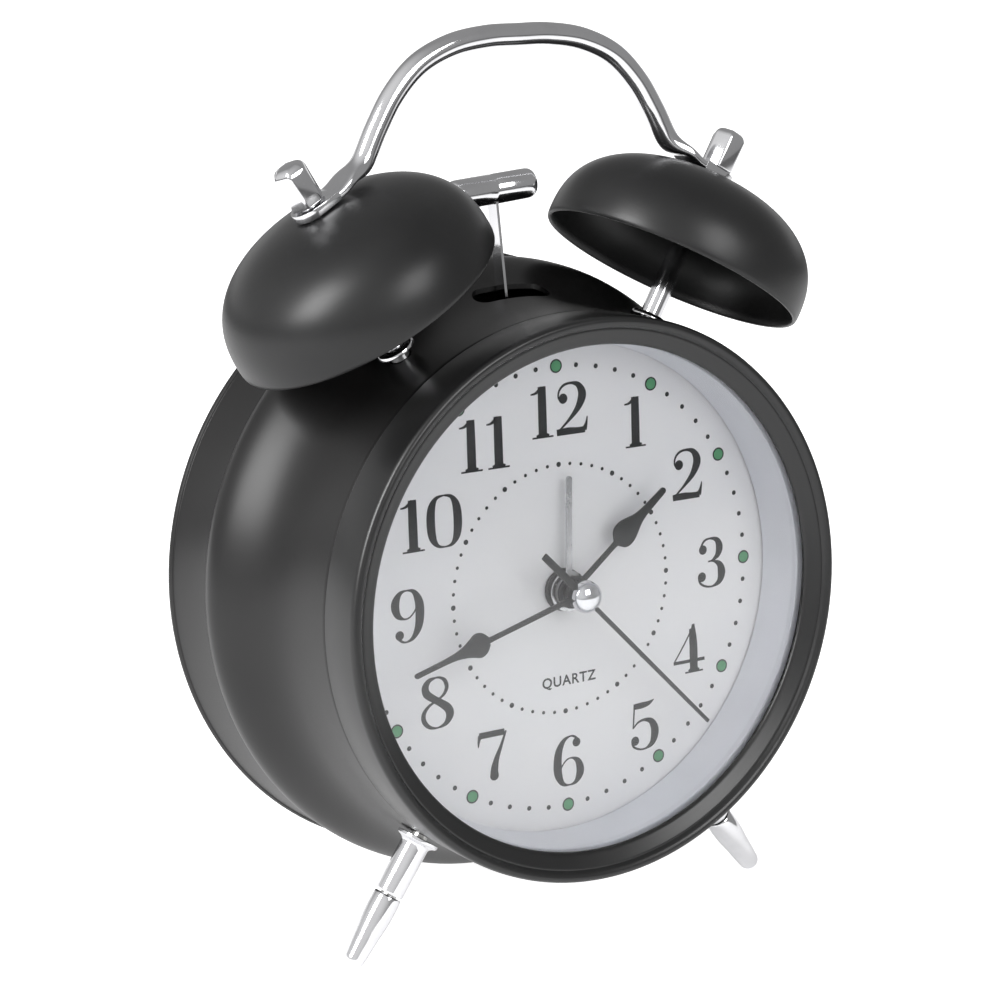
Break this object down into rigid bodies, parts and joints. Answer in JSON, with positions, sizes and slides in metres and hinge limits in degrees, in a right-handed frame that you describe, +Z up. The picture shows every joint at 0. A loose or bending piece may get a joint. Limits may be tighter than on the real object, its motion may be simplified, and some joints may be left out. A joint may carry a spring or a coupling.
{
  "type": "twin-bell alarm clock",
  "caption": "Twin-bell quartz alarm clock: satin black waisted drum case, round white dial, chrome handle and feet, motor-driven hammer, battery and setting knobs at the rear.",
  "frame": {"origin": "on the supporting surface, midway across the clock and midway between its foremost and rearmost points", "axes": "+Z up, +X to the right as the dial is read, +Y from the dial towards the back; the case leans back 7.28 degrees about X"},
  "size_m": [0.1148, 0.0692, 0.1591],
  "materials": {
    "satin_black_paint": "satin",
    "black_plastic": "matte",
    "chrome": "polished",
    "zinc_steel": "zinc plated",
    "brass": "turned",
    "crystal_glass": "clear",
    "dial_white": "printed",
    "wall_lavender": "matte",
    "hand_black": "satin",
    "hand_silver": "bright",
    "white_plastic": "matte",
    "board_green": "solder mask",
    "copper_wire": "enamelled copper",
    "cell_sleeve": "foil sleeve over a steel can"
  },
  "bodies": {
    "clock_case": {"case_body": "satin_black_paint", "front_bezel": "satin_black_paint", "crystal": "crystal_glass", "dial_wall_ring": "wall_lavender", "dial_plate": "dial_white", "chassis_plate": "white_plastic", "movement_case": "black_plastic", "movement_lid": "black_plastic", "centre_nut": "black_plastic", "circuit_board": "board_green", "drive_coil": "copper_wire", "bell_left": "satin_black_paint", "bell_post_left": "chrome", "post_collar_left": "chrome", "post_nut_left": "zinc_steel", "bell_cap_nut_left": "chrome", "bell_right": "satin_black_paint", "bell_post_right": "chrome", "post_collar_right": "chrome", "post_nut_right": "zinc_steel", "bell_cap_nut_right": "chrome", "carry_handle": "chrome", "foot_sleeve_left": "chrome", "foot_tip_left": "chrome", "foot_screw_left": "zinc_steel", "foot_sleeve_right": "chrome", "foot_tip_right": "chrome", "foot_screw_right": "zinc_steel", "striker_plate": "zinc_steel", "hammer_pivot_pin": "zinc_steel", "striker_motor": "zinc_steel", "striker_screw_left": "zinc_steel", "striker_screw_right": "zinc_steel", "rear_cover": "black_plastic", "battery_cell": "cell_sleeve", "contact_plus": "brass", "contact_spring": "zinc_steel", "cover_screw_right": "zinc_steel", "cover_screw_bottom": "zinc_steel", "cover_screw_left": "zinc_steel"},
    "minute_hand_train": {"minute_pipe": "brass", "minute_hand": "hand_black"},
    "hour_hand_train": {"hour_pipe": "brass", "hour_hand": "hand_black"},
    "second_hand_train": {"second_arbor": "zinc_steel", "second_hand": "hand_black", "hand_cap": "chrome"},
    "alarm_hand_train": {"alarm_pipe": "brass", "alarm_hand": "hand_silver"},
    "time_setter": {"time_set_shaft": "white_plastic", "time_set_knob": "black_plastic"},
    "alarm_setter": {"alarm_set_shaft": "white_plastic", "alarm_set_knob": "black_plastic"},
    "striker_crank_body": {"striker_crank": "white_plastic"},
    "hammer": {"hammer_lever": "black_plastic", "hammer_arm": "zinc_steel", "hammer_head": "chrome"},
    "alarm_switch_slider": {"alarm_switch": "black_plastic"},
    "battery_door_flap": {"battery_door": "black_plastic"}
  },
  "joints": [
    {"name": "minute_hand_turn", "type": "hinge", "parent": "clock_case", "child": "minute_hand_train", "pos_m": [0, -0.01934, 0.06287], "axis": [0, 0.9919, -0.1267], "continuous": true},
    {"name": "hour_hand_turn", "type": "hinge", "parent": "clock_case", "child": "hour_hand_train", "pos_m": [0, -0.01676, 0.06254], "axis": [0, 0.9919, -0.1267], "continuous": true},
    {"name": "second_hand_turn", "type": "hinge", "parent": "clock_case", "child": "second_hand_train", "pos_m": [0, -0.02033, 0.06299], "axis": [0, 0.9919, -0.1267], "continuous": true},
    {"name": "alarm_hand_turn", "type": "hinge", "parent": "clock_case", "child": "alarm_hand_train", "pos_m": [0, -0.01567, 0.0624], "axis": [0, 0.9919, -0.1267], "continuous": true},
    {"name": "time_knob_turn", "type": "hinge", "parent": "clock_case", "child": "time_setter", "pos_m": [0.014, 0.02546, 0.06319], "axis": [0, 0.9919, -0.1267], "continuous": true},
    {"name": "alarm_knob_turn", "type": "hinge", "parent": "clock_case", "child": "alarm_setter", "pos_m": [-0.014, 0.02546, 0.06319], "axis": [0, 0.9919, -0.1267], "continuous": true},
    {"name": "striker_crank_turn", "type": "hinge", "parent": "clock_case", "child": "striker_crank_body", "pos_m": [0, 0.00658, 0.10089], "axis": [0, 0.9919, -0.1267], "continuous": true},
    {"name": "hammer_swing", "type": "hinge", "parent": "clock_case", "child": "hammer", "pos_m": [0, 0.00439, 0.09159], "axis": [0, 0.9919, -0.1267], "range_deg": [-0.75, 9.75]},
    {"name": "alarm_switch_slide", "type": "slide", "parent": "clock_case", "child": "alarm_switch_slider", "axis": [1, 0, 0], "range_m": [0, 0.004]},
    {"name": "battery_door_swing", "type": "hinge", "parent": "clock_case", "child": "battery_door_flap", "pos_m": [0, 0.02001, 0.02054], "axis": [-1, 0, 0], "range_deg": [0, 85]}
  ],
  "couplings": [
    {"joint": "hour_hand_turn", "follows": "minute_hand_turn", "ratio": 0.083333},
    {"joint": "time_knob_turn", "follows": "minute_hand_turn", "ratio": -1.6},
    {"joint": "alarm_knob_turn", "follows": "alarm_hand_turn", "ratio": -1.6}
  ]
}
